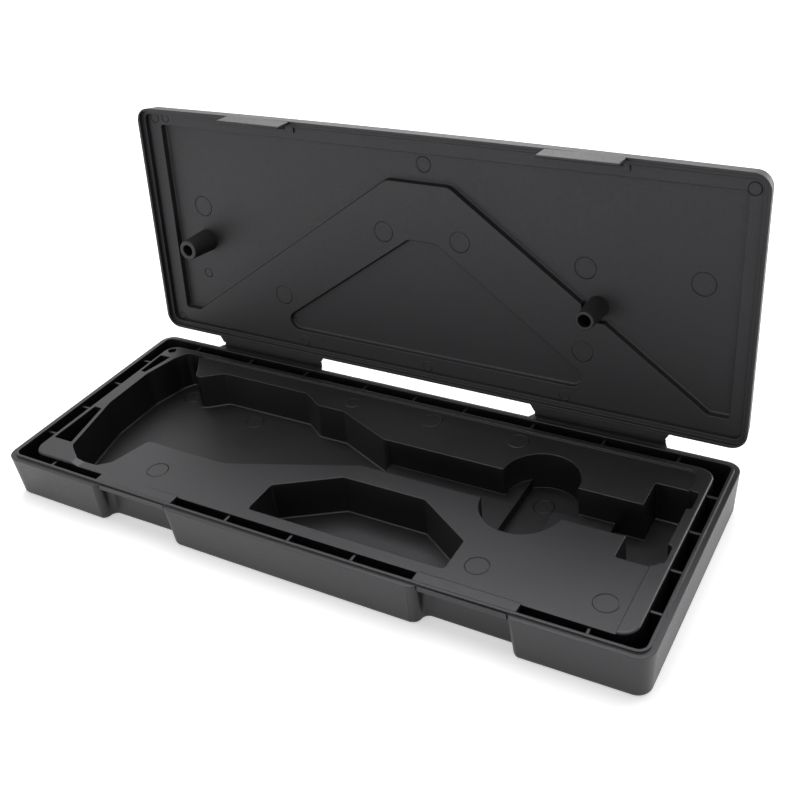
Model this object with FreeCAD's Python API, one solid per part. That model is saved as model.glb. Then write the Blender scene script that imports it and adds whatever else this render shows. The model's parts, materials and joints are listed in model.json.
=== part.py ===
# Moulded storage case for a 150 mm caliper: a low base with a pocketed tray, a lid on two
# strip hinges, two catch tabs and two hold-down posts. Millimetres, +Z up, origin under the
# middle of the base, +X along the case, +Y towards the hinges, lid drawn open.
import FreeCAD
import Part
import math
import os

Vec = FreeCAD.Vector

# Whole case
LENGTH = 263.5          # outer length of both halves at the rim
WIDTH = 101.5           # outer width of both halves at the rim
CROWN = 0.9             # outward bow of the front walls at mid length
PARTING_Z = 17.6        # height of the plane where the two rims meet
OPEN_ANGLE = 95.0       # how far the lid stands open as drawn

# Base shell
BASE_CORNER_R = 5.6
BASE_DRAFT = 1.3        # how far the wall leans in from rim to foot
BASE_FOOT_R = 1.4       # rounding round the underside
FLOOR_T = 1.0
LIP_INSET = 1.95        # outer face of the raised lip, in from the rim edge
LIP_T = 1.05
LIP_H = 0.8
LIP_CORNER_R = 4.0
WALL_CORNER_R = 3.0     # inner corner of the outer wall

# Tray
MOAT_LEFT = 5.25        # gap between the outer wall and the tray, on each side
MOAT_RIGHT = 4.2
MOAT_REAR = 4.55
MOAT_FRONT = 3.65
TRAY_CORNER_R = 6.0
TRAY_SKIN_T = 1.6       # top plate, skirt and pocket walls
TRAY_FLOOR_T = 1.0      # floor of the deep pockets
TRAY_TOP_R = 0.8        # rounding of the tray's outer top edge
FIELD_STEP = 0.8        # the middle of the tray lies this far below its border
BORDER_REAR = 2.8
BORDER_RIGHT = 5.95
BORDER_LEFT_REAR = 12.9     # left end of the field, from the jaw pocket's left wall
BORDER_LEFT_FRONT = 19.9
FIELD_CORNER_R = 3.0
FIELD_RAMP_L = 4.0      # the border's front left end runs down to the field in a slope
FIELD_RAMP_REAR = 5.0   # rear end of that slope, from the tray's front, inside the jaw pocket
SHELF_Z = 6.0           # top of the raised floor under the beam
POCKET_DRAFT = 0.5      # how far a pocket wall leans in over its height
FOOT_R = 0.6            # fillet where a pocket wall meets its floor

# Jaw pocket, from the tray's edges
JAW_WALL = 5.8          # tray's left edge to the pocket's left wall
JAW_RUN = 123.4         # pocket's left wall to the raised floor under the beam
JAW_REAR_WALL = 3.0
JAW_FRONT_WALL = 3.3

# Channel for the caliper's beam, and the pockets along it, from the tray's right edge
CHANNEL_W = 17.7
CHANNEL_Y = 7.55        # centre line of the beam
SHELF_END = 27.75
FINGER_PLACE = 55.85
FINGER_REAR = 9.4       # centres of its two rounds, from the beam's centre line
FINGER_REAR_R = 14.4
FINGER_FRONT = 7.3
FINGER_FRONT_R = 15.1
SLOT_LEFT = 8.6         # deep slot across the finger pocket, from the pocket's middle
SLOT_RIGHT = 5.5
SLOT_REAR = 7.0
END_LENGTH = 14.3
END_WALL = 3.75
END_REAR = 22.0         # end pocket's sides, from the beam's centre line
END_FRONT = 19.8
END_INNER_R = 1.2
END_OUTER_R = 2.4
EAR_DEPTH = 1.6
EAR_CORNER_R = 1.5
EARS = ((11.4, 21.2), (-17.6, -8.2))

# Pocket for spare parts
SPARES_PLACE = 136.6    # its middle, from the jaw pocket's left wall
SPARES_HALF_FRONT = 39.7
SPARES_HALF_REAR = 17.0
SPARES_D = 29.3
SPARES_SIDE_D = 14.9
SPARES_WALL = 4.9
SPARES_CORNER_R = 1.5

# Lightening holes at the left end of the tray
ROUND_HOLE_R = 1.9
ROUND_HOLE_IN_X = 3.8   # from the tray's left and rear edges
ROUND_HOLE_IN_Y = 4.1
SLIM_WALL = 1.2         # skin round the slim holes
SLIM_CORNER_R = 0.4

# Ribs across the moat between tray and outer wall
RIB_T = 1.0
RIB_DROP = 1.5          # rib tops below the lip's top
RIBS_REAR_X = (-110.7, -81.3, -52.2, -22.7, 0.9, 23.7, 52.8, 81.3, 109.8)
RIBS_FRONT_X = (-110.3, -25.1, 1.9, 27.5, 110.5)
RIBS_LEFT_Y = (-29.6, -10.0, 9.8, 29.3)
RIBS_RIGHT_Y = (-30.1, -10.2, 9.9, 30.0)

# Catches
CATCH_FROM_END = 63.3   # each catch, from the end of the case
RECESS_SHIFT = 1.45     # both recesses sit this far right of symmetry
TAB_SHIFT = 0.6         # both tabs sit this far right of symmetry
RECESS_W = 31.6         # width at the ledge
RECESS_DRAFT = 0.8      # how far each side wall leans out from ledge to foot
CATCH_RECESS_D = 5.7    # back wall of the recess, from the rim's straight edge line
RECESS_WALL_T = 0.9
RECESS_MOUTH_R = 3.0
RECESS_INNER_R = 2.5
RECESS_FOOT_STEPS = 4   # flats that round the recess off at its foot
LEDGE_INSET = 1.45      # face of the ledge that the catch hooks under, from the rim edge
LEDGE_H = 2.05          # height of that face, down from the parting plane
LEDGE_D = 2.0
BRIDGE_T = 1.8
BRIDGE_W = 36.4
TAB_W = 29.5
TAB_T = 1.05
TAB_DROP = 7.6          # tab tip below the parting plane when closed
TAB_CLEAR = 0.35        # tab to ledge, and hook to ledge
TAB_ROOT_T = 0.4        # tab's flexing root, above the rim
TAB_SEAT_CLEAR = 0.03   # flexing root to its seat in the lid
TAB_TIP_R = 0.4
HOOK_D = 0.8
HOOK_H = 1.6
HOOK_RISE = 0.3         # the hook's top slopes down this much to its tip
HOOK_TIP = 0.3          # height of the hook's blunt tip

# Lid shell
LID_CORNER_R = 6.2
RIM_CLEAR = 0.05        # lid's rim above the base's rim when closed
LID_DEPTH = 8.2
LID_DRAFT = 1.0
LID_EDGE_R = 1.5        # rounding round the lid's top
RIM_T = 1.1             # flat rim
REBATE_W = 1.65         # rebate that swallows the base's lip
REBATE_D = 1.8
REBATE_CORNER_R = 4.0
LID_INNER_CORNER_R = 2.6

# Relief panel inside the lid
PLATEAU_D = 3.5         # inner face of the panel, from the rim plane
RECESS_D = 6.2          # floor of the large recess, from the rim plane
TRIANGLE_D = 5.5        # floor of the triangular recess, from the rim plane
PANEL_FLOOR_T = 0.6
PANEL_DRAFT = 0.4       # how far the recess walls lean in over their depth
PANEL_SHIFT = 0.9       # the panel's pattern is centred this far right
PANEL_END = 8.35        # width of the raised border at the ends, front and rear
PANEL_FRONT = 7.3
PANEL_REAR = 9.2
PEAK_HALF = 13.5        # half the flat top of the raised roof shape
PEAK_IN = 12.2          # its distance from the recess's front edge
FOOT_IN = 7.9           # its feet, from the recess's ends
BAND_W = 22.9           # width of the roof shape's sloping bands
TRIANGLE_SIDE_D = 6.8   # height of the triangle's short upright ends
TRIANGLE_SHIFT = 2.0    # the triangle is centred this far right
RECESS_FRONT_R = 1.4
RECESS_REAR_R = 1.2
RECESS_FOOT_R = 1.5
PEAK_R = 5.0
TRIANGLE_SIDE_R = 4.0
TRIANGLE_TOP_R = 2.5
TRIANGLE_FOOT_R = 4.4

# Hold-down posts in the lid
LEFT_POST_IN = 10.6     # from the jaw pocket's left wall
RIGHT_POST_OFF = 4.5    # from the finger pocket's middle
LEFT_POST_R = 4.2
RIGHT_POST_R = 3.5
POST_BORE_R = 2.5
POST_NOTCH = 1.2        # gap round a post's root in the relief panel
POST_END_R = 0.3
POST_REACH = 7.7        # post end below the parting plane when closed
POST_TAPER = 0.7
POST_BORE_D = 9.0

# Strip hinges
HINGE_FROM_END = 56.15  # each hinge, from the end of the case
HINGE_SHIFT = 1.0       # both hinges sit this far right of symmetry
HINGE_REACH = 3.0       # hinge axis behind the rear wall
HINGE_RISE = 1.38       # hinge axis above the parting plane, level with the lid plate's top
HINGE_WALL_W = 55.0     # plate width at the wall
HINGE_FOLD_W = 51.6     # plate width at the fold
HINGE_T = 1.3
FOLD_R = 0.3            # bead of the folding film
FOLD_CLEAR = 0.02       # film to plates
UPTURN_T = 0.55         # thickness of the base plate's turned-up end, below the film

# Worked out from the above
LIP_TOP = PARTING_Z + LIP_H
TRAY_TOP = LIP_TOP
FIELD_Z = TRAY_TOP - FIELD_STEP
DEEP_Z = FLOOR_T + TRAY_FLOOR_T
WALL_INSET = LIP_INSET + LIP_T
TRAY_LEFT = LENGTH / 2 - WALL_INSET - MOAT_LEFT
TRAY_RIGHT = LENGTH / 2 - WALL_INSET - MOAT_RIGHT
TRAY_REAR = WIDTH / 2 - WALL_INSET - MOAT_REAR
TRAY_FRONT = WIDTH / 2 - WALL_INSET - MOAT_FRONT
JAW_LEFT = JAW_WALL - TRAY_LEFT
BEAM_REAR = CHANNEL_Y + CHANNEL_W / 2
BEAM_FRONT = CHANNEL_Y - CHANNEL_W / 2
SHELF_START_X = JAW_LEFT + JAW_RUN
SHELF_END_X = TRAY_RIGHT - SHELF_END
FINGER_X = TRAY_RIGHT - FINGER_PLACE
END_RIGHT_X = TRAY_RIGHT - END_WALL
END_LEFT_X = END_RIGHT_X - END_LENGTH
CATCH_X = LENGTH / 2 - CATCH_FROM_END
RECESS_BACK_Y = WIDTH / 2 - CATCH_RECESS_D
HINGE_X = LENGTH / 2 - HINGE_FROM_END
POSTS = (("left", JAW_LEFT + LEFT_POST_IN, LEFT_POST_R),
         ("right", FINGER_X + RIGHT_POST_OFF, RIGHT_POST_R))
AXIS_Y = WIDTH / 2 + HINGE_REACH
AXIS_Z = PARTING_Z + HINGE_RISE
LEDGE_TOP = LIP_TOP - BRIDGE_T
LEDGE_FOOT = PARTING_Z - LEDGE_H
RIM_Z = PARTING_Z + RIM_CLEAR
LID_INNER_INSET = RIM_T + REBATE_W
ABOVE = 5.0             # cutters run this far past what they cut
OVERLAP = 1.0           # pieces that are trimmed by another start this far inside it
HAIR = 1e-4


def save(name, shape):
    """Write one sub-part as parts/NAME.step and print its size."""
    shape = shape.removeSplitter()
    solids = len(shape.Solids)
    print(f"{name}: solids {solids}, valid {shape.isValid()}, volume {shape.Volume:.0f} mm3")
    shape.exportStep(f"parts/{name}.step")


def box(x0, x1, y0, y1, z0, z1):
    return Part.makeBox(x1 - x0, y1 - y0, z1 - z0, Vec(x0, y0, z0))


def outline(corners, z):
    """Closed wire through corners (x, y, radius), anticlockwise, with tangent corner arcs."""
    edges = []
    ends = []
    count = len(corners)
    for i in range(count):
        here = Vec(corners[i][0], corners[i][1], z)
        before = Vec(corners[i - 1][0], corners[i - 1][1], z)
        after = Vec(corners[(i + 1) % count][0], corners[(i + 1) % count][1], z)
        to_before = (before - here).normalize()
        to_after = (after - here).normalize()
        half = to_before.getAngle(to_after) / 2
        radius = corners[i][2]
        if radius <= 0:
            ends.append((here, here, None))
            continue
        reach = radius / math.tan(half)
        start = here + to_before * reach
        end = here + to_after * reach
        centre = here + (to_before + to_after).normalize() * (radius / math.sin(half))
        middle = centre + (here - centre).normalize() * radius
        ends.append((start, end, middle))
    for i in range(count):
        start, end, middle = ends[i]
        if middle is not None:
            edges.append(Part.Arc(start, middle, end).toShape())
        following = ends[(i + 1) % count][0]
        if end.distanceToPoint(following) > 1e-6:
            edges.append(Part.LineSegment(end, following).toShape())
    return Part.Wire(edges)


def rim_outline(inset, radius, z):
    """Rim-shaped wire set in from the outer edge; its front side bows outward."""
    half_l = LENGTH / 2 - inset
    half_w = WIDTH / 2 - inset
    straight_l = half_l - radius
    straight_w = half_w - radius
    turn = radius * (1 - math.sqrt(0.5))

    def line(x0, y0, x1, y1):
        return Part.LineSegment(Vec(x0, y0, z), Vec(x1, y1, z)).toShape()

    def corner(x0, y0, x1, y1):
        middle = Vec(math.copysign(half_l - turn, x0), math.copysign(half_w - turn, y0), z)
        return Part.Arc(Vec(x0, y0, z), middle, Vec(x1, y1, z)).toShape()

    bow = Part.Arc(Vec(-straight_l, -half_w, z), Vec(0, -half_w - CROWN, z),
                   Vec(straight_l, -half_w, z)).toShape()
    return Part.Wire([
        line(straight_l, half_w, -straight_l, half_w),
        corner(-straight_l, half_w, -half_l, straight_w),
        line(-half_l, straight_w, -half_l, -straight_w),
        corner(-half_l, -straight_w, -straight_l, -half_w),
        bow,
        corner(straight_l, -half_w, half_l, -straight_w),
        line(half_l, -straight_w, half_l, straight_w),
        corner(half_l, straight_w, straight_l, half_w),
    ])


def prism(wire, height):
    return Part.Face(wire).extrude(Vec(0, 0, height))


def rim_prism(inset, radius, z0, z1):
    return prism(rim_outline(inset, radius, z0), z1 - z0)


def pocket(corners, z0, z1, draft=POCKET_DRAFT):
    """Cutter that leans in towards its floor, with a fillet round the foot."""
    foot = outline(corners, z0)
    if draft > 0:
        foot = foot.makeOffset2D(-draft)
    body = Part.makeLoft([foot, outline(corners, z1)], True, True)
    floor_edges = [e for e in body.Edges if e.BoundBox.ZMax < z0 + HAIR]
    return body.makeFillet(FOOT_R, floor_edges)


def jaw_pocket_corners():
    """Pocket for jaws and slider: x from its ends, y from its rear or front side."""
    left = JAW_LEFT
    right = SHELF_START_X
    back = TRAY_REAR - JAW_REAR_WALL
    fore = JAW_FRONT_WALL - TRAY_FRONT
    past_x = SHELF_START_X + ABOVE
    return [
        (left + 12.6, back, 1.2), (left + 6.5, back, 3.0), (left + 3.3, back - 5.7, 5.0),
        (left, back - 20.8, 10.0), (left + 0.1, fore + 36.1, 10.0),
        (left + 7.3, fore + 5.9, 4.0), (left + 15.5, fore, 3.0), (left + 25.3, fore, 3.0),
        (left + 30.1, fore + 4.3, 2.5), (left + 34.4, fore + 20.7, 2.0),
        (right - 51.3, fore + 20.7, 6.0), (right - 0.8, BEAM_FRONT, 10.0),
        (past_x, BEAM_FRONT, 0.0), (past_x, BEAM_REAR, 0.0), (right - 1.9, BEAM_REAR, 4.0),
        (right - 26.8, back - 13.1, 3.0), (right - 39.5, back - 13.1, 3.0),
        (right - 48.5, back - 7.3, 3.0), (left + 32.3, back - 7.3, 4.0),
        (left + 21.9, back - 15.0, 2.8), (left + 18.3, back - 8.4, 6.0),
    ]


def spares_corners():
    x = JAW_LEFT + SPARES_PLACE
    y = SPARES_WALL - TRAY_FRONT
    r = SPARES_CORNER_R
    return [
        (x - SPARES_HALF_FRONT, y + SPARES_SIDE_D, r), (x - SPARES_HALF_FRONT, y, r),
        (x + SPARES_HALF_FRONT, y, r), (x + SPARES_HALF_FRONT, y + SPARES_SIDE_D, r),
        (x + SPARES_HALF_REAR, y + SPARES_D, r), (x - SPARES_HALF_REAR, y + SPARES_D, r),
    ]


def finger_solid(grow, z0, z1):
    """The rounded finger pocket, grown sideways, from z0 to z1."""
    height = z1 - z0
    rear_r = FINGER_REAR_R + grow
    front_r = FINGER_FRONT_R + grow
    rear_y = CHANNEL_Y + FINGER_REAR
    fore_y = CHANNEL_Y - FINGER_FRONT
    rear = Part.makeCylinder(rear_r, height, Vec(FINGER_X, rear_y, z0))
    fore = Part.makeCylinder(front_r, height, Vec(FINGER_X, fore_y, z0))
    middle = outline([(FINGER_X - front_r, fore_y, 0), (FINGER_X + front_r, fore_y, 0),
                      (FINGER_X + rear_r, rear_y, 0), (FINGER_X - rear_r, rear_y, 0)], z0)
    return rear.fuse([fore, prism(middle, height)]).removeSplitter()


def channel_corners(x0, x1, grow=0.0):
    y0 = BEAM_FRONT - grow
    y1 = BEAM_REAR + grow
    return [(x0, y1, 0), (x0, y0, 0), (x1, y0, 0), (x1, y1, 0)]


def end_corners(grow=0.0):
    x0 = END_LEFT_X - grow
    x1 = END_RIGHT_X + grow
    y0 = CHANNEL_Y - END_FRONT - grow
    y1 = CHANNEL_Y + END_REAR + grow
    inner_r = END_INNER_R + grow
    outer_r = END_OUTER_R + grow
    return [(x0, y1, inner_r), (x0, y0, inner_r), (x1, y0, outer_r), (x1, y1, outer_r)]


def ear_corners(low, high, grow=0.0):
    """Shallow side bay off the end pocket, its sides measured from the beam's centre line."""
    x0 = END_RIGHT_X - EAR_DEPTH - END_OUTER_R - grow
    x1 = END_RIGHT_X + EAR_DEPTH + grow
    y0 = CHANNEL_Y + low - grow
    y1 = CHANNEL_Y + high + grow
    return [(x0, y1, 0), (x0, y0, 0), (x1, y0, EAR_CORNER_R), (x1, y1, EAR_CORNER_R)]


def hole_outlines():
    """Lightening holes beside the jaw pocket: two slim triangles, as corner lists."""
    left = -TRAY_LEFT
    rear = TRAY_REAR
    front = -TRAY_FRONT
    r = SLIM_CORNER_R
    return (
        [(left + 1.3, rear - 9.2, r), (left + 1.7, rear - 23.3, r),
         (left + 4.0, rear - 23.3, r), (left + 6.8, rear - 9.2, r)],
        [(left + 2.0, front + 34.4, r), (left + 1.9, front + 10.8, r),
         (left + 11.2, front + 10.8, r), (left + 5.8, front + 34.4, r)],
    )


def round_hole(grow, z0, z1):
    place = Vec(ROUND_HOLE_IN_X - TRAY_LEFT, TRAY_REAR - ROUND_HOLE_IN_Y, z0)
    return Part.makeCylinder(ROUND_HOLE_R + grow, z1 - z0, place)


def pocket_cutters():
    """Everything the caliper and the fingers go into, as one solid."""
    top = TRAY_TOP + ABOVE
    jaw = pocket(jaw_pocket_corners(), DEEP_Z, top)
    jaw = jaw.cut(box(SHELF_START_X, SHELF_END_X, -WIDTH, WIDTH, 0, SHELF_Z))
    end = pocket(end_corners(), DEEP_Z, top)
    ears = [prism(outline(ear_corners(low, high), DEEP_Z), top - DEEP_Z) for low, high in EARS]
    deep_end = prism(outline(channel_corners(SHELF_END_X, END_LEFT_X + ABOVE), DEEP_Z),
                     top - DEEP_Z)
    channel = prism(outline(channel_corners(SHELF_START_X, SHELF_END_X + ABOVE), SHELF_Z),
                    top - SHELF_Z)
    slot_left = FINGER_X - SLOT_LEFT
    slot_rear = CHANNEL_Y + SLOT_REAR
    slot_front = box(slot_left, FINGER_X + SLOT_RIGHT, -WIDTH, slot_rear, DEEP_Z, top)
    slot_back = box(slot_left, LENGTH, slot_rear, WIDTH, DEEP_Z, top)
    slot = finger_solid(0, DEEP_Z, top).common(slot_front.fuse(slot_back))
    spares = pocket(spares_corners(), DEEP_Z, top)
    others = [end, deep_end, channel, finger_solid(0, SHELF_Z, top), slot, spares]
    return jaw.fuse(others + ears)


def pocket_walls():
    """The pockets' outsides: each pocket grown by the skin, down to the base's floor."""
    grow = TRAY_SKIN_T
    z0 = FLOOR_T
    height = TRAY_TOP - z0
    wires = [outline(jaw_pocket_corners(), z0).makeOffset2D(grow),
             outline(spares_corners(), z0).makeOffset2D(grow),
             outline(end_corners(grow), z0),
             outline(channel_corners(SHELF_START_X - grow, END_LEFT_X + grow, grow), z0)]
    wires += [outline(ear_corners(low, high, grow), z0) for low, high in EARS]
    wires += [outline(corners, z0).makeOffset2D(SLIM_WALL) for corners in hole_outlines()]
    solids = [prism(wire, height) for wire in wires]
    solids += [finger_solid(grow, z0, TRAY_TOP), round_hole(grow, z0, TRAY_TOP)]
    return solids[0].fuse(solids[1:])


def tray_corners(inset=0.0):
    """Plan of the tray, set in from its sides."""
    r = TRAY_CORNER_R - inset
    return [
        (-TRAY_LEFT + inset, TRAY_REAR - inset, r), (-TRAY_LEFT + inset, -TRAY_FRONT + inset, r),
        (TRAY_RIGHT - inset, -TRAY_FRONT + inset, r), (TRAY_RIGHT - inset, TRAY_REAR - inset, r),
    ]


def field_ramp(rear_end, front_end):
    """Wedge off the border beside the front end of the field's left edge."""
    rear_y = FIELD_RAMP_REAR - TRAY_FRONT
    share = (rear_y - front_end[1]) / (rear_end[1] - front_end[1])
    foot_x = front_end[0] + share * (rear_end[0] - front_end[0])
    past = (FIELD_STEP + ABOVE) / FIELD_STEP
    points = [Vec(x, front_end[1], z) for x, z in (
        (foot_x + OVERLAP, FIELD_Z), (foot_x, FIELD_Z),
        (foot_x - FIELD_RAMP_L * past, TRAY_TOP + ABOVE), (foot_x + OVERLAP, TRAY_TOP + ABOVE))]
    side = Part.Face(Part.makePolygon(points + points[:1]))
    return side.extrude(Vec(0, rear_y - front_end[1], 0))


def caliper_tray():
    block = prism(outline(tray_corners(), FLOOR_T), TRAY_TOP - FLOOR_T)
    top_edges = [e for e in block.Edges if e.BoundBox.ZMin > TRAY_TOP - HAIR]
    block = block.makeFillet(TRAY_TOP_R, top_edges)
    border_x = TRAY_RIGHT - BORDER_RIGHT
    border_y = TRAY_REAR - BORDER_REAR
    past_y = -TRAY_FRONT - ABOVE
    field = [(JAW_LEFT + BORDER_LEFT_REAR, border_y, 0),
             (JAW_LEFT + BORDER_LEFT_FRONT, past_y, 0), (border_x, past_y, 0),
             (border_x, border_y, FIELD_CORNER_R)]
    block = block.cut([prism(outline(field, FIELD_Z), ABOVE), field_ramp(field[0], field[1])])
    hollow_h = FIELD_Z - TRAY_SKIN_T
    hollow = prism(outline(tray_corners(TRAY_SKIN_T), 0), hollow_h)
    block = block.cut(hollow.cut(pocket_walls()))
    block = block.cut(pocket_cutters())
    holes = [prism(outline(corners, DEEP_Z), TRAY_TOP) for corners in hole_outlines()]
    holes.append(round_hole(0, DEEP_Z, TRAY_TOP + ABOVE))
    under_shelf = box(SHELF_START_X + TRAY_SKIN_T, FINGER_X - SLOT_LEFT - TRAY_SKIN_T,
                      BEAM_FRONT, BEAM_REAR, 0, SHELF_Z - TRAY_SKIN_T)
    return block.cut(holes + [under_shelf])


def recess_x(side):
    return side * CATCH_X + RECESS_SHIFT


def front_y(x, inset):
    """Y of the bowed front line at x, set in from the outer edge."""
    half = LENGTH / 2 - BASE_CORNER_R
    radius = (half ** 2 + CROWN ** 2) / (2 * CROWN)
    return -(WIDTH / 2 - inset + CROWN - radius + math.sqrt(radius ** 2 - x ** 2))


def recess_outline(x, half, back, out_y, mouth_r, inner_r, z):
    """Catch recess in the front wall: a back with rounded corners and a rounded mouth."""
    turn = mouth_r * (1 - math.sqrt(0.5))
    inner_turn = inner_r * (1 - math.sqrt(0.5))

    def line(start, end):
        return Part.LineSegment(start, end).toShape()

    back_ends = []
    mouth = []
    for s in (-1, 1):
        back_ends.append((Vec(x + s * (half - inner_r), back, z),
                          Vec(x + s * (half - inner_turn), back - inner_turn, z),
                          Vec(x + s * half, back - inner_r, z)))
        mouth.append((Vec(x + s * half, out_y + mouth_r, z),
                      Vec(x + s * (half + turn), out_y + turn, z),
                      Vec(x + s * (half + mouth_r), out_y, z)))
    far = [Vec(x + s * (half + mouth_r), out_y - ABOVE, z) for s in (-1, 1)]
    left, right = back_ends
    edges = [line(right[0], left[0])]
    if inner_r > 0:
        edges.append(Part.Arc(*left).toShape())
    edges += [line(left[2], mouth[0][0]), Part.Arc(*mouth[0]).toShape(),
              line(mouth[0][2], far[0]), line(far[0], far[1]), line(far[1], mouth[1][2]),
              Part.Arc(mouth[1][2], mouth[1][1], mouth[1][0]).toShape(),
              line(mouth[1][0], right[2])]
    if inner_r > 0:
        edges.append(Part.Arc(right[2], right[1], right[0]).toShape())
    return Part.Wire(edges)


def recess_cutter(side):
    """Recess from below the foot up to the ledge; its walls lean out and round off there."""
    levels = [(-OVERLAP, BASE_FOOT_R)]
    for i in range(RECESS_FOOT_STEPS + 1):
        turn = math.pi / 2 * i / RECESS_FOOT_STEPS
        levels.append((BASE_FOOT_R * (1 - math.cos(turn)), BASE_FOOT_R * (1 - math.sin(turn))))
    levels.append((LEDGE_FOOT, 0))
    wires = []
    for z, grow in levels:
        half = RECESS_W / 2 + RECESS_DRAFT * (1 - z / LEDGE_FOOT) + grow
        out_y = front_y(CATCH_X, BASE_DRAFT * (1 - z / PARTING_Z) + grow)
        wires.append(recess_outline(recess_x(side), half, grow - RECESS_BACK_Y, out_y,
                                    RECESS_MOUTH_R - grow, RECESS_INNER_R + grow, z))
    return Part.makeLoft(wires, True, True)


def slot_cutter(side):
    """Room for the tab in front of the ledge's face."""
    wire = recess_outline(recess_x(side), RECESS_W / 2, front_y(CATCH_X, LEDGE_INSET),
                          front_y(CATCH_X, 0), RECESS_MOUTH_R, 0, LEDGE_FOOT)
    return prism(wire, LEDGE_H)


def ledge(side):
    """The bar outside and under the lip's foot that the catch tab hooks onto."""
    x = recess_x(side)
    y0 = front_y(CATCH_X, LEDGE_INSET)
    bar = box(x - RECESS_W / 2, x + RECESS_W / 2, y0, y0 + LEDGE_D, LEDGE_FOOT, PARTING_Z)
    return bar.cut(rim_prism(LIP_INSET, LIP_CORNER_R, LEDGE_TOP, LIP_TOP))


def base_shell():
    foot = rim_outline(BASE_DRAFT, BASE_CORNER_R - BASE_DRAFT / 2, 0)
    rim = rim_outline(0, BASE_CORNER_R, PARTING_Z)
    body = Part.makeLoft([foot, rim], True, True)
    foot_edges = [e for e in body.Edges if e.BoundBox.ZMax < HAIR]
    body = body.makeFillet(BASE_FOOT_R, foot_edges)
    body = body.fuse(rim_prism(LIP_INSET, LIP_CORNER_R, PARTING_Z - OVERLAP, LIP_TOP))
    cavity = rim_prism(WALL_INSET, WALL_CORNER_R, FLOOR_T, LIP_TOP + ABOVE)
    for side in (-1, 1):
        x = recess_x(side)
        half = RECESS_W / 2 + RECESS_DRAFT + RECESS_WALL_T
        lining = box(x - half, x + half, -WIDTH, -RECESS_BACK_Y + RECESS_WALL_T,
                     0, LEDGE_TOP)
        cavity = cavity.cut(lining)
    body = body.cut(cavity)
    for side in (-1, 1):
        body = body.cut([recess_cutter(side), slot_cutter(side), ledge(side)])
    return body


def moat():
    """Free space between the outer wall and the tray, above the base's floor."""
    space = rim_prism(WALL_INSET, WALL_CORNER_R, FLOOR_T, LIP_TOP)
    return space.cut(prism(outline(tray_corners(), FLOOR_T), LIP_TOP))


def rib_group(space, side, places):
    """Thin ribs across one side of the moat, one at each place."""
    z1 = LIP_TOP - RIB_DROP
    half = RIB_T / 2
    rear_y = TRAY_REAR - OVERLAP
    fore_y = OVERLAP - TRAY_FRONT
    left_x = OVERLAP - TRAY_LEFT
    right_x = TRAY_RIGHT - OVERLAP
    boxes = []
    for place in places:
        if side == "rear":
            boxes.append(box(place - half, place + half, rear_y, WIDTH, FLOOR_T, z1))
        elif side == "front":
            boxes.append(box(place - half, place + half, -WIDTH, fore_y, FLOOR_T, z1))
        elif side == "left":
            boxes.append(box(-LENGTH, left_x, place - half, place + half, FLOOR_T, z1))
        else:
            boxes.append(box(right_x, LENGTH, place - half, place + half, FLOOR_T, z1))
    ribs = [b.common(space) for b in boxes]
    return Part.makeCompound([s for r in ribs for s in r.Solids])


def tray_bridge(space, side):
    x = recess_x(side)
    slab = box(x - BRIDGE_W / 2, x + BRIDGE_W / 2, -WIDTH, OVERLAP - TRAY_FRONT,
               LIP_TOP - BRIDGE_T, LIP_TOP)
    return slab.common(space)


def hinge_x(side):
    return side * HINGE_X + HINGE_SHIFT


def base_hinge_plate(side):
    """Plate from the rear wall, narrowing towards the fold and turned up there to the film."""
    x = hinge_x(side)
    wall = HINGE_WALL_W / 2
    fold = HINGE_FOLD_W / 2
    y0 = WIDTH / 2
    y1 = AXIS_Y + FOLD_R
    z0 = PARTING_Z - HINGE_T
    z1 = AXIS_Z - FOLD_R - FOLD_CLEAR
    plan = outline([(x - wall, y0, 0), (x + wall, y0, 0), (x + fold, y1, 0), (x - fold, y1, 0)],
                   z0)
    room = box(x - wall, x + wall, y0, y1 - UPTURN_T, PARTING_Z, z1)
    return prism(plan, z1 - z0).cut(room)


def fold_film(side):
    """Bead on the hinge axis: the thin film along which the hinge folds."""
    x = hinge_x(side)
    half = HINGE_FOLD_W / 2
    return Part.makeCylinder(FOLD_R, 2 * half, Vec(x - half, AXIS_Y, AXIS_Z), Vec(1, 0, 0))


def opened(shape):
    """Turn a piece modelled on the closed lid to where the open lid is drawn."""
    turned = shape.copy()
    turned.rotate(Vec(0, AXIS_Y, AXIS_Z), Vec(1, 0, 0), -OPEN_ANGLE)
    return turned


def lid_y(v):
    """Y on the closed lid of a place v from the hinge axis, measured across the lid."""
    return AXIS_Y - v


def lid_shell():
    rim = rim_outline(0, LID_CORNER_R, RIM_Z)
    skin = rim_outline(LID_DRAFT, LID_CORNER_R - LID_DRAFT / 2, RIM_Z + LID_DEPTH)
    body = Part.makeLoft([rim, skin], True, True)
    top_edges = [e for e in body.Edges if e.BoundBox.ZMin > RIM_Z + LID_DEPTH - HAIR]
    body = body.makeFillet(LID_EDGE_R, top_edges)
    rebate = rim_prism(RIM_T, REBATE_CORNER_R, RIM_Z - OVERLAP, RIM_Z + REBATE_D)
    hollow = rim_prism(LID_INNER_INSET, LID_INNER_CORNER_R, RIM_Z,
                       RIM_Z + RECESS_D + PANEL_FLOOR_T)
    body = body.cut([rebate, hollow])
    for side in (-1, 1):
        x = side * CATCH_X + TAB_SHIFT
        half = TAB_W / 2 + TAB_SEAT_CLEAR
        seat = box(x - half, x + half, -WIDTH, front_y(CATCH_X, RIM_T) + RIM_T,
                   RIM_Z - OVERLAP, RIM_Z + TAB_ROOT_T + TAB_SEAT_CLEAR)
        body = body.cut(seat)
    return body


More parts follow.
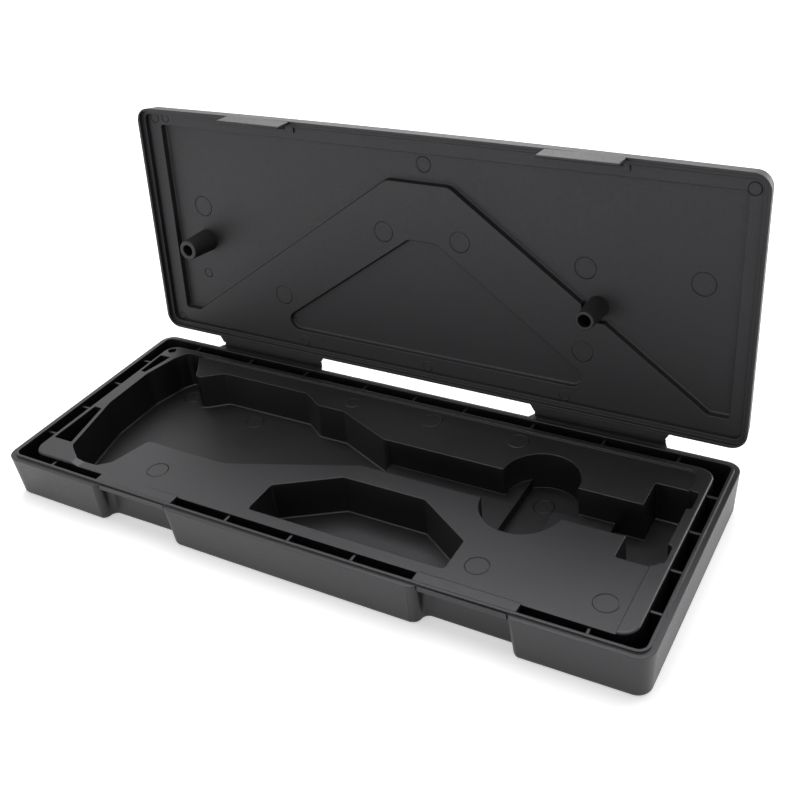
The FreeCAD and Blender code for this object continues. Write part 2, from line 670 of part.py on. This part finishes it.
def roof():
    """Places of the raised roof shape, across the lid and from its middle."""
    half = LENGTH / 2 - PANEL_END
    front_v = HINGE_REACH + WIDTH - PANEL_FRONT
    rear_v = HINGE_REACH + PANEL_REAR
    return half, front_v, rear_v, front_v - PEAK_IN, half - FOOT_IN


def large_recess_corners():
    half, front_v, rear_v, peak_v, foot = roof()
    x = PANEL_SHIFT
    rear_y = lid_y(rear_v)
    fore_y = lid_y(front_v)
    peak_y = lid_y(peak_v)
    return [
        (x + half, fore_y, RECESS_FRONT_R), (x + half, rear_y, RECESS_REAR_R),
        (x + foot, rear_y, RECESS_FOOT_R), (x + PEAK_HALF, peak_y, PEAK_R),
        (x - PEAK_HALF, peak_y, PEAK_R), (x - foot, rear_y, RECESS_FOOT_R),
        (x - half, rear_y, RECESS_REAR_R), (x - half, fore_y, RECESS_FRONT_R),
    ]


def triangle_corners():
    """Recess under the roof shape, its slopes parallel to the roof's, one band width in."""
    half, front_v, rear_v, peak_v, foot = roof()
    rise = (peak_v - rear_v) / (foot - PEAK_HALF)
    inward = BAND_W * math.hypot(1, rise) / rise
    top_v = peak_v - BAND_W
    side_v = rear_v + TRIANGLE_SIDE_D

    def slope_x(v):
        return PEAK_HALF + (peak_v - v) / rise - inward

    x = TRIANGLE_SHIFT
    side = slope_x(side_v)
    top = slope_x(top_v)
    return [
        (x + side, lid_y(side_v), TRIANGLE_SIDE_R), (x + top, lid_y(top_v), TRIANGLE_TOP_R),
        (x - top, lid_y(top_v), TRIANGLE_TOP_R), (x - side, lid_y(side_v), TRIANGLE_SIDE_R),
        (x - side, lid_y(rear_v), TRIANGLE_FOOT_R), (x + side, lid_y(rear_v), TRIANGLE_FOOT_R),
    ]


def lid_pocket(corners, z0, z1):
    """Recess open towards the base, leaning in and filleted at its floor (its top)."""
    mouth = outline(corners, z0)
    floor = outline(corners, z1).makeOffset2D(-PANEL_DRAFT)
    body = Part.makeLoft([mouth, floor], True, True)
    edges = [e for e in body.Edges if e.BoundBox.ZMin > z1 - HAIR]
    return body.makeFillet(FOOT_R, edges)


def lid_relief_panel():
    body = rim_prism(LID_INNER_INSET, LID_INNER_CORNER_R, RIM_Z + PLATEAU_D,
                     RIM_Z + RECESS_D + PANEL_FLOOR_T)
    z0 = RIM_Z + PLATEAU_D - OVERLAP
    cuts = [lid_pocket(large_recess_corners(), z0, RIM_Z + RECESS_D),
            lid_pocket(triangle_corners(), z0, RIM_Z + TRIANGLE_D)]
    cuts += [post_seat(x, radius) for name, x, radius in POSTS]
    return body.cut(cuts)


def post_seat(x, radius):
    """Square-sided notch round a post's root, as deep as the large recess."""
    half = radius + POST_TAPER + POST_NOTCH
    return box(x - half, x + half, CHANNEL_Y - half, CHANNEL_Y + half,
               RIM_Z + PLATEAU_D - OVERLAP, RIM_Z + RECESS_D)


def hold_down_post(x, radius):
    z0 = PARTING_Z - POST_REACH
    z1 = RIM_Z + RECESS_D
    post = Part.makeCone(radius, radius + POST_TAPER, z1 - z0, Vec(x, CHANNEL_Y, z0))
    end_edge = [e for e in post.Edges if e.BoundBox.ZMax < z0 + HAIR]
    post = post.makeFillet(POST_END_R, end_edge)
    return post.cut(Part.makeCylinder(POST_BORE_R, POST_BORE_D, Vec(x, CHANNEL_Y, z0)))


def lid_hinge_plate(side):
    x = hinge_x(side)
    wall = HINGE_WALL_W / 2
    fold = HINGE_FOLD_W / 2
    y0 = WIDTH / 2
    y1 = AXIS_Y - FOLD_R - FOLD_CLEAR
    plan = outline([(x - wall, y0, 0), (x + wall, y0, 0), (x + fold, y1, 0), (x - fold, y1, 0)],
                   RIM_Z)
    return prism(plan, HINGE_T)


def tab_inner_y():
    return front_y(CATCH_X, LEDGE_INSET) - TAB_CLEAR


def catch_tab(side):
    """Sprung tab: a plate down the front with a hook that passes under the ledge."""
    x = side * CATCH_X + TAB_SHIFT
    half = TAB_W / 2
    inner = tab_inner_y()
    outer = inner - TAB_T
    top = RIM_Z + TAB_ROOT_T
    plate = box(x - half, x + half, outer, inner, PARTING_Z - TAB_DROP, top)
    tip = [e for e in plate.Edges
           if e.BoundBox.ZMax < PARTING_Z - TAB_DROP + HAIR and e.BoundBox.XLength > TAB_T]
    plate = plate.makeFillet(TAB_TIP_R, tip)
    hook_top = LEDGE_FOOT - TAB_CLEAR
    reach = inner + HOOK_D + TAB_CLEAR
    section = [Vec(x - half, inner, hook_top),
               Vec(x - half, reach, hook_top - HOOK_RISE),
               Vec(x - half, reach, hook_top - HOOK_RISE - HOOK_TIP),
               Vec(x - half, inner, hook_top - HOOK_H),
               Vec(x - half, inner, hook_top)]
    hook = Part.Face(Part.makePolygon(section)).extrude(Vec(TAB_W, 0, 0))
    return plate.fuse(hook)


os.makedirs("parts", exist_ok=True)
SPACE = moat()
save("base_shell", base_shell())
save("caliper_tray", caliper_tray())
save("moat_ribs_rear", rib_group(SPACE, "rear", RIBS_REAR_X))
save("moat_ribs_front", rib_group(SPACE, "front", RIBS_FRONT_X))
save("moat_ribs_left", rib_group(SPACE, "left", RIBS_LEFT_Y))
save("moat_ribs_right", rib_group(SPACE, "right", RIBS_RIGHT_Y))
for SIDE, WORD in ((-1, "left"), (1, "right")):
    save(f"tray_bridge_{WORD}", tray_bridge(SPACE, SIDE))
    save(f"catch_ledge_{WORD}", ledge(SIDE))
    save(f"base_hinge_plate_{WORD}", base_hinge_plate(SIDE))
    save(f"hinge_film_{WORD}", fold_film(SIDE))
    save(f"lid_hinge_plate_{WORD}", opened(lid_hinge_plate(SIDE)))
    save(f"catch_tab_{WORD}", opened(catch_tab(SIDE)))
save("lid_shell", opened(lid_shell()))
save("lid_relief_panel", opened(lid_relief_panel()))
for WORD, X, RADIUS in POSTS:
    save(f"hold_down_post_{WORD}", opened(hold_down_post(X, RADIUS)))
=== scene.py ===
import bpy
import bmesh
import json
import math
from mathutils import Matrix, Vector


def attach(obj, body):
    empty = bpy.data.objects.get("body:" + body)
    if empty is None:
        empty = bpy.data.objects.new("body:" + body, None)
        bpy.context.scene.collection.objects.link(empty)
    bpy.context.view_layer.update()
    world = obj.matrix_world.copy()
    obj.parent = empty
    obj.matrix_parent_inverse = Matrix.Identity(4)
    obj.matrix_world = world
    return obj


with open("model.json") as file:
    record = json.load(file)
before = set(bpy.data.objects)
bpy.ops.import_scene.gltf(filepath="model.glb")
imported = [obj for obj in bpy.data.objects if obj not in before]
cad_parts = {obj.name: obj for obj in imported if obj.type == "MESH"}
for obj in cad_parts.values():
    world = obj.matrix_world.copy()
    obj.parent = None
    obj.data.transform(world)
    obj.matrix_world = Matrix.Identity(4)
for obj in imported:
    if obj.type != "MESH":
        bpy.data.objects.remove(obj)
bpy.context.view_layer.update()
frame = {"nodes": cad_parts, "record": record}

# The case's own sizes, in metres
MM = 0.001
HINGE_AXIS = Vector((0.0, 53.75 * MM, 18.98 * MM))
OPEN = math.radians(95.0)
FIELD = 17.6 * MM          # top of the tray's field
POCKET_FLOOR = 2.0 * MM    # floor of the tray's deep pockets
LID_PLATEAU = 21.15 * MM   # lid's raised inner face, closed
LID_RECESS = 23.85 * MM    # floor of the lid's large recess, closed
LID_FROM_CLOSED = (Matrix.Translation(HINGE_AXIS) @ Matrix.Rotation(-OPEN, 4, "X")
                   @ Matrix.Translation(-HINGE_AXIS))

# Ejector marks in millimetres: place along the case, place across it, radius
FIELD_MARKS = ((-67.3, -33.5, 3.85), (15.3, 34.3, 3.85), (52.0, 34.3, 3.85),
               (67.8, -33.5, 3.85), (111.5, -33.0, 3.85), (-20.5, 33.7, 2.9))
FLOOR_MARKS = ((-104.7, 30.7, 3.6), (-66.8, 24.8, 3.7), (68.2, 19.8, 3.6))
# In the lid the second figure is the distance from the hinge axis
RECESS_MARKS = ((-107.3, 61.7, 4.2), (68.0, 60.5, 3.9), (111.0, 61.3, 4.1), (2.8, 92.2, 2.8),
                (-109.3, 30.3, 1.8))
PLATEAU_MARKS = ((-15.0, 63.8, 3.9), (18.5, 64.2, 3.9), (-66.7, 28.0, 3.9), (68.5, 28.3, 3.9),
                 (2.2, 8.0, 1.9), (61.7, 8.0, 1.9), (-57.7, 8.0, 1.9), (125.7, 98.0, 2.0),
                 (-125.7, 7.5, 1.3), (-125.2, 99.8, 1.9), (-119.4, 100.0, 1.5))
# Section of a mark's shoulder in millimetres: out from the mark's radius, up from the face
MARK_SECTION = ((0.55, -0.03), (0.12, 0.13), (-0.02, 0.13), (-0.06, -0.03))
MARK_STEPS = 40

# Stops beside the catch tabs in millimetres: place along the case, distance from the hinge axis
TAB_STOPS = ((-53.5, 100.9), (84.0, 100.3))
STOP_SIZE = (0.45 * MM, 2.0 * MM, 0.7 * MM)
STOP_MIDDLE = 0.3 * MM     # from the lid's raised inner face to a stop's middle
STOP_ROUNDING = 0.1 * MM

# Near black plastic, glossier in the base than in the lid
BLACK = (0.0014, 0.0014, 0.0016)
BLACK_LIGHTER = (0.0024, 0.0024, 0.0027)
CASE_ROUGHNESS = (0.38, 0.45)
LID_ROUGHNESS = (0.52, 0.60)
FLOW_ROUGHNESS = (-0.02, 0.02)      # what the flow adds to either roughness
PLASTIC_IOR = 1.54
GLOSS_TINT = (0.97, 0.95, 1.0, 1.0)
EDGE_RADIUS = 0.45 * MM
EDGE_SAMPLES = 6
FLOW_SCALE, FLOW_DETAIL = 24.0, 3.0
MOTTLE_SCALE, MOTTLE_DETAIL = 900.0, 2.0
ERODED_SCALE, ERODED_DETAIL = 3600.0, 3.0
NOISE_MIDDLE = (0.3, 0.7)           # where most of a noise's values lie
MOTTLE_SHARE = 0.5                  # height of the mottle beside the eroded grain's
GRAIN_HEIGHT = 0.06 * MM
GRAIN_STRENGTH = 0.25

# Studio
WHITE = (1.0, 1.0, 1.0, 1.0)
FLOOR_HALF_SIDE = 4.0
FLOOR_COLOUR = (0.8, 0.8, 0.8, 1.0)
FLOOR_ROUGHNESS = 0.9
FLOOR_GLOW = 0.45
WORLD_LIGHT = 0.55
WORLD_SEEN = 1.0
# Name, place, point that it faces, side and power
LAMPS = (("top_lamp", (-0.1, 0.28, 1.03), (0.0, 0.0, 0.0), 0.9, 9.0),
         ("rear_lamp", (-0.45, 1.05, 0.68), (0.0, 0.0, 0.0), 0.7, 5.5),
         ("side_lamp", (0.75, 0.95, 0.25), (0.0, 0.0, 0.0), 0.6, 7.5),
         ("front_lamp", (-0.5, -1.1, 0.06), (0.0, 0.0, 0.05), 0.5, 3.0))


# Finishes

def shader_of(name):
    material = bpy.data.materials.new(name)
    material.use_nodes = True
    nodes = material.node_tree.nodes
    return material, nodes, material.node_tree.links, nodes["Principled BSDF"]


def noise(nodes, links, place, scale, detail):
    texture = nodes.new("ShaderNodeTexNoise")
    texture.inputs["Scale"].default_value = scale
    texture.inputs["Detail"].default_value = detail
    links.new(place.outputs["Object"], texture.inputs["Vector"])
    return texture.outputs["Fac"]


def spread(nodes, links, source, low, high):
    """A value between low and high that follows a noise."""
    reach = nodes.new("ShaderNodeMapRange")
    reach.inputs["From Min"].default_value, reach.inputs["From Max"].default_value = NOISE_MIDDLE
    reach.inputs["To Min"].default_value = low
    reach.inputs["To Max"].default_value = high
    links.new(source, reach.inputs["Value"])
    return reach.outputs["Result"]


def flow_colour(nodes, links, flow):
    """Near black that lightens a little with the plastic's flow."""
    colour = nodes.new("ShaderNodeMix")
    colour.data_type = "RGBA"
    colour.inputs["A"].default_value = (*BLACK, 1.0)
    colour.inputs["B"].default_value = (*BLACK_LIGHTER, 1.0)
    links.new(spread(nodes, links, flow, 0.0, 1.0), colour.inputs["Factor"])
    return colour.outputs["Result"]


def uneven_gloss(nodes, links, mottle, flow, roughness):
    """Roughness that follows the mottle, and the flow faintly."""
    gloss = nodes.new("ShaderNodeMath")
    gloss.operation = "ADD"
    links.new(spread(nodes, links, mottle, *roughness), gloss.inputs[0])
    links.new(spread(nodes, links, flow, *FLOW_ROUGHNESS), gloss.inputs[1])
    return gloss.outputs["Value"]


def eased_grain(nodes, links, mottle, eroded):
    """Spark-eroded grain over edges that are eased in the shading."""
    eased = nodes.new("ShaderNodeBevel")
    eased.samples = EDGE_SAMPLES
    eased.inputs["Radius"].default_value = EDGE_RADIUS
    height = nodes.new("ShaderNodeMath")
    height.operation = "MULTIPLY_ADD"
    height.inputs[1].default_value = MOTTLE_SHARE
    links.new(mottle, height.inputs[0])
    links.new(eroded, height.inputs[2])
    bump = nodes.new("ShaderNodeBump")
    bump.inputs["Strength"].default_value = GRAIN_STRENGTH
    bump.inputs["Distance"].default_value = GRAIN_HEIGHT
    links.new(height.outputs["Value"], bump.inputs["Height"])
    links.new(eased.outputs["Normal"], bump.inputs["Normal"])
    return bump.outputs["Normal"]


def moulded_plastic(name, roughness):
    material, nodes, links, shader = shader_of(name)
    place = nodes.new("ShaderNodeTexCoord")
    flow = noise(nodes, links, place, FLOW_SCALE, FLOW_DETAIL)
    mottle = noise(nodes, links, place, MOTTLE_SCALE, MOTTLE_DETAIL)
    eroded = noise(nodes, links, place, ERODED_SCALE, ERODED_DETAIL)
    links.new(flow_colour(nodes, links, flow), shader.inputs["Base Color"])
    links.new(uneven_gloss(nodes, links, mottle, flow, roughness), shader.inputs["Roughness"])
    links.new(eased_grain(nodes, links, mottle, eroded), shader.inputs["Normal"])
    shader.inputs["IOR"].default_value = PLASTIC_IOR
    shader.inputs["Specular Tint"].default_value = GLOSS_TINT
    return material


case_plastic = moulded_plastic("case_plastic", CASE_ROUGHNESS)
lid_plastic = moulded_plastic("lid_plastic", LID_ROUGHNESS)

base_nodes = frame["record"]["behaviour"]["bodies"]["base"]
for name, node in frame["nodes"].items():
    node.data.materials.clear()
    node.data.materials.append(case_plastic if name in base_nodes else lid_plastic)


# Ejector marks and the small stops beside the catch tabs

def finish_piece(name, mesh, material, body):
    bmesh.ops.recalc_face_normals(mesh, faces=mesh.faces)
    data = bpy.data.meshes.new(name)
    mesh.to_mesh(data)
    mesh.free()
    data.materials.append(material)
    piece = bpy.data.objects.new(name, data)
    bpy.context.collection.objects.link(piece)
    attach(piece, body)


def mark_ring(mesh, x, y, radius):
    """Low shoulder round an ejector mark: a gentle slope outside and a steep step inside."""
    earlier_rings = set(mesh.verts)
    section = [mesh.verts.new((radius + out * MM, 0.0, up * MM)) for out, up in MARK_SECTION]
    edges = [mesh.edges.new(ends) for ends in zip(section, section[1:] + section[:1])]
    bmesh.ops.spin(mesh, geom=section + edges, cent=(0.0, 0.0, 0.0), axis=(0.0, 0.0, 1.0),
                   dvec=(0.0, 0.0, 0.0), angle=2.0 * math.pi, steps=MARK_STEPS,
                   use_merge=True, use_duplicate=False)
    ring = [vert for vert in mesh.verts if vert not in earlier_rings]
    bmesh.ops.translate(mesh, vec=(x, y, 0.0), verts=ring)


def tray_marks(name, spots, level):
    mesh = bmesh.new()
    for x, y, radius in spots:
        mark_ring(mesh, x * MM, y * MM, radius * MM)
    bmesh.ops.translate(mesh, vec=(0.0, 0.0, level), verts=mesh.verts)
    finish_piece(name, mesh, case_plastic, "base")


def into_open_lid(mesh, level):
    """Turn a mesh over onto the closed lid's inner face at that level, and open it with the lid."""
    face_down = Matrix.Translation((0.0, 0.0, level)) @ Matrix.Diagonal((1.0, 1.0, -1.0, 1.0))
    bmesh.ops.transform(mesh, matrix=LID_FROM_CLOSED @ face_down, verts=mesh.verts)


def lid_marks(name, spots, level):
    mesh = bmesh.new()
    for x, reach, radius in spots:
        mark_ring(mesh, x * MM, HINGE_AXIS.y - reach * MM, radius * MM)
    into_open_lid(mesh, level)
    finish_piece(name, mesh, lid_plastic, "lid")


def tab_stops():
    """Small upright ribs on the lid's inner face, one beside each catch tab."""
    mesh = bmesh.new()
    for x, reach in TAB_STOPS:
        stop = bmesh.ops.create_cube(mesh, size=1.0)["verts"]
        bmesh.ops.scale(mesh, vec=STOP_SIZE, verts=stop)
        bmesh.ops.translate(mesh, vec=(x * MM, HINGE_AXIS.y - reach * MM, STOP_MIDDLE),
                            verts=stop)
    bmesh.ops.bevel(mesh, geom=mesh.edges[:], offset=STOP_ROUNDING, offset_type="OFFSET",
                    affect="EDGES", segments=2, profile=0.5, material=-1)
    into_open_lid(mesh, LID_PLATEAU)
    finish_piece("tab_stops", mesh, lid_plastic, "lid")


tray_marks("tray_field_marks", FIELD_MARKS, FIELD)
tray_marks("tray_floor_marks", FLOOR_MARKS, POCKET_FLOOR)
lid_marks("lid_recess_marks", RECESS_MARKS, LID_RECESS)
lid_marks("lid_plateau_marks", PLATEAU_MARKS, LID_PLATEAU)
tab_stops()


# Floor, light and camera

def seen_directly(nodes, links):
    """One for what the camera, a reflection or glass sees, nought for the light it casts."""
    light_path = nodes.new("ShaderNodeLightPath")
    direct = light_path.outputs["Is Camera Ray"]
    for ray in ("Is Glossy Ray", "Is Transmission Ray"):
        either = nodes.new("ShaderNodeMath")
        either.operation = "MAXIMUM"
        links.new(direct, either.inputs[0])
        links.new(light_path.outputs[ray], either.inputs[1])
        direct = either.outputs["Value"]
    return direct


def floor_finish():
    """Pale floor that keeps its shadow, and glows a little where it is seen directly."""
    material, nodes, links, shader = shader_of("pale_floor")
    shader.inputs["Base Color"].default_value = FLOOR_COLOUR
    shader.inputs["Roughness"].default_value = FLOOR_ROUGHNESS
    glow = nodes.new("ShaderNodeEmission")
    glow.inputs["Color"].default_value = WHITE
    strength = nodes.new("ShaderNodeMath")
    strength.operation = "MULTIPLY"
    strength.inputs[1].default_value = FLOOR_GLOW
    links.new(seen_directly(nodes, links), strength.inputs[0])
    links.new(strength.outputs["Value"], glow.inputs["Strength"])
    both = nodes.new("ShaderNodeAddShader")
    links.new(shader.outputs["BSDF"], both.inputs[0])
    links.new(glow.outputs["Emission"], both.inputs[1])
    links.new(both.outputs["Shader"], nodes["Material Output"].inputs["Surface"])
    return material


def pale_floor():
    mesh = bmesh.new()
    bmesh.ops.create_grid(mesh, x_segments=1, y_segments=1, size=FLOOR_HALF_SIDE)
    data = bpy.data.meshes.new("floor")
    mesh.to_mesh(data)
    mesh.free()
    data.materials.append(floor_finish())
    floor = bpy.data.objects.new("floor", data)
    bpy.context.collection.objects.link(floor)


def soft_lamp(name, place, aim, side, power):
    """Square lamp that lights and shows in reflections, and that no camera sees."""
    data = bpy.data.lights.new(name, "AREA")
    data.shape = "SQUARE"
    data.size = side
    data.energy = power
    lamp = bpy.data.objects.new(name, data)
    lamp.location = place
    towards = Vector(aim) - Vector(place)
    lamp.rotation_euler = towards.to_track_quat("-Z", "Y").to_euler()
    lamp.visible_camera = False
    bpy.context.collection.objects.link(lamp)


def white_world():
    """White where it is seen directly, and dimmer as the light that it casts."""
    world = bpy.data.worlds.new("studio")
    world.use_nodes = True
    bpy.context.scene.world = world
    nodes = world.node_tree.nodes
    links = world.node_tree.links
    background = nodes["Background"]
    background.inputs["Color"].default_value = WHITE
    strength = nodes.new("ShaderNodeMapRange")
    strength.inputs["To Min"].default_value = WORLD_LIGHT
    strength.inputs["To Max"].default_value = WORLD_SEEN
    links.new(seen_directly(nodes, links), strength.inputs["Value"])
    links.new(strength.outputs["Result"], background.inputs["Strength"])


def photo_camera():
    """The camera that was fitted to the case's straight edges in the photograph."""
    data = bpy.data.cameras.new("photo_camera")
    data.sensor_width = 36.0
    data.lens = 49.89
    data.shift_x = -0.003994
    data.shift_y = -0.073285
    camera = bpy.data.objects.new("photo_camera", data)
    right = Vector((0.86939593, 0.48548028, -0.09197617))
    down = Vector((0.17704788, -0.47985411, -0.8592986))
    forward = Vector((-0.46130767, 0.73078652, -0.50313636))
    turn = Matrix((right, -down, -forward)).transposed().to_4x4()
    spot = Vector((200.128, -273.279, 263.516)) * MM
    camera.matrix_world = Matrix.Translation(spot) @ turn
    bpy.context.collection.objects.link(camera)
    bpy.context.scene.camera = camera


pale_floor()
for lamp in LAMPS:
    soft_lamp(*lamp)
white_world()
photo_camera()
bpy.context.scene.view_settings.view_transform = "Standard"
